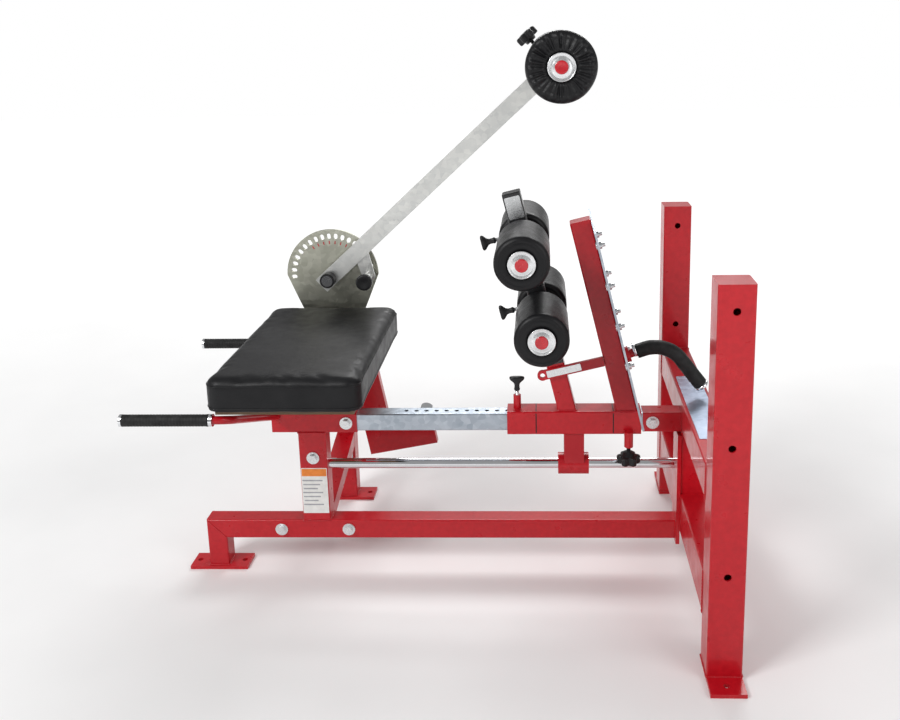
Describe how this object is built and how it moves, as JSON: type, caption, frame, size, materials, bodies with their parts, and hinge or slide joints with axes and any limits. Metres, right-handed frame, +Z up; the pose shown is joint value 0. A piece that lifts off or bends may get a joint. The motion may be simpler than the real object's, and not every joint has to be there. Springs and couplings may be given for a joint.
{
  "type": "kneeling leg curl machine",
  "caption": "Floor-standing kneeling leg curl machine with a padded bench, ankle rollers on a sliding carriage and a counterbalanced chest roller arm.",
  "frame": {"origin": "on the floor, under the middle of the whole machine's length and width", "axes": "+X from the hand grips to the wide rear frame, +Y to the right-hand side where the pivot column stands (a user kneels towards -X), +Z up"},
  "size_m": [1.3664, 1.032, 1.3647],
  "materials": {
    "red_paint": "gloss",
    "zinc": "satin",
    "chrome": "polished",
    "bright_steel": "satin",
    "grip_rubber": "matte",
    "vinyl": "satin",
    "roller_foam": "satin",
    "black_paint": "satin",
    "black_plastic": "satin",
    "liner_plastic": "matte",
    "plywood": "matte",
    "red_cap": "gloss"
  },
  "bodies": {
    "frame": {"base_beam": "red_paint", "floor_plates": "red_paint", "seat_post": "red_paint", "top_rail": "red_paint", "slide_beam": "zinc", "rear_stub": "red_paint", "spine_plate": "red_paint", "centre_post": "red_paint", "upper_crossbar": "red_paint", "lower_crossbar": "red_paint", "upright_left": "red_paint", "upright_right": "red_paint", "guide_rod": "chrome", "frame_bolts": "bright_steel", "frame_washers": "bright_steel", "handle_bars": "red_paint", "handle_grips": "grip_rubber", "handle_caps": "chrome", "seat_frame": "red_paint", "seat_board": "plywood", "seat_pad": "vinyl", "pivot_column": "red_paint", "pivot_housing": "red_paint", "pivot_bearings": "bright_steel", "column_brace": "red_paint"},
    "swing": {"pivot_shaft": "chrome", "angle_disc": "zinc", "weight_arm": "red_paint", "weight_horn": "chrome"},
    "arm": {"roller_arm": "zinc", "arm_hub": "black_plastic", "chest_axle": "chrome", "chest_ends": "bright_steel"},
    "pull_pin": {"pull_pin": "black_plastic"},
    "arm_knob": {"arm_knob": "black_plastic"},
    "chest_roller": {"chest_roller": "roller_foam"},
    "carriage": {"carriage_sleeve": "red_paint", "sleeve_liners": "liner_plastic", "guide_link": "red_paint", "carriage_bosses": "red_paint", "foot_post": "red_paint", "roller_post": "black_paint", "foot_tube": "red_paint", "foot_plate": "zinc", "foot_plate_bolts": "bright_steel", "brace_bar": "red_paint", "pull_handle": "red_paint", "pull_grip": "grip_rubber"},
    "carriage_pin": {"carriage_pin": "black_plastic"},
    "lock_knob": {"lock_knob": "black_plastic"},
    "upper_collar": {"upper_collar": "black_paint", "upper_ends": "bright_steel"},
    "lower_collar": {"lower_collar": "black_paint", "lower_ends": "bright_steel"},
    "upper_pin": {"upper_pin": "black_plastic"},
    "lower_pin": {"lower_pin": "black_plastic"},
    "upper_roller_left": {"upper_roller_left": "roller_foam"},
    "upper_roller_right": {"upper_roller_right": "roller_foam"},
    "lower_roller_left": {"lower_roller_left": "roller_foam"},
    "lower_roller_right": {"lower_roller_right": "roller_foam"}
  },
  "joints": [
    {"name": "swing_pivot", "type": "hinge", "parent": "frame", "child": "swing", "pos_m": [-0.316, 0.38, 0.701], "axis": [0, -1, 0], "range_deg": [0, 75]},
    {"name": "arm_adjust", "type": "hinge", "parent": "swing", "child": "arm", "pos_m": [-0.316, 0.272, 0.701], "axis": [0, -1, 0], "range_deg": [0, 70]},
    {"name": "pull_pin_slide", "type": "slide", "parent": "arm", "child": "pull_pin", "axis": [0, -1, 0], "range_m": [-0.011, 0], "stiffness_N_per_m": 400},
    {"name": "arm_knob_turn", "type": "hinge", "parent": "arm", "child": "arm_knob", "pos_m": [0.26763, 0.2745, 1.30164], "axis": [-0.6743, 0, 0.7385], "range_deg": [0, 360]},
    {"name": "chest_roller_spin", "type": "hinge", "parent": "arm", "child": "chest_roller", "pos_m": [0.31316, 0.04, 1.27551], "axis": [0, -1, 0], "continuous": true},
    {"name": "carriage_slide", "type": "slide", "parent": "frame", "child": "carriage", "axis": [1, 0, 0], "range_m": [-0.2794, 0]},
    {"name": "carriage_pin_slide", "type": "slide", "parent": "carriage", "child": "carriage_pin", "axis": [0, 0, 1], "range_m": [-0.011, 0], "stiffness_N_per_m": 400},
    {"name": "lock_knob_turn", "type": "hinge", "parent": "carriage", "child": "lock_knob", "pos_m": [0.476, -0.042, 0.345], "axis": [0, 0, 1], "range_deg": [0, 360]},
    {"name": "upper_collar_slide", "type": "slide", "parent": "carriage", "child": "upper_collar", "axis": [-0.2334, 0, 0.9724], "range_m": [-0.0254, 0.0762]},
    {"name": "lower_collar_slide", "type": "slide", "parent": "carriage", "child": "lower_collar", "axis": [-0.2334, 0, 0.9724], "range_m": [-0.0508, 0.0254]},
    {"name": "upper_pin_slide", "type": "slide", "parent": "upper_collar", "child": "upper_pin", "axis": [-0.9724, 0, -0.2334], "range_m": [-0.01, 0], "stiffness_N_per_m": 400},
    {"name": "lower_pin_slide", "type": "slide", "parent": "lower_collar", "child": "lower_pin", "axis": [-0.9724, 0, -0.2334], "range_m": [-0.01, 0], "stiffness_N_per_m": 400},
    {"name": "upper_roller_left_spin", "type": "hinge", "parent": "upper_collar", "child": "upper_roller_left", "pos_m": [0.22275, -0.1375, 0.8575], "axis": [0, -1, 0], "continuous": true},
    {"name": "upper_roller_right_spin", "type": "hinge", "parent": "upper_collar", "child": "upper_roller_right", "pos_m": [0.22275, 0.1375, 0.8575], "axis": [0, -1, 0], "continuous": true},
    {"name": "lower_roller_left_spin", "type": "hinge", "parent": "lower_collar", "child": "lower_roller_left", "pos_m": [0.26477, -0.1375, 0.68247], "axis": [0, -1, 0], "continuous": true},
    {"name": "lower_roller_right_spin", "type": "hinge", "parent": "lower_collar", "child": "lower_roller_right", "pos_m": [0.26477, 0.1375, 0.68247], "axis": [0, -1, 0], "continuous": true}
  ]
}
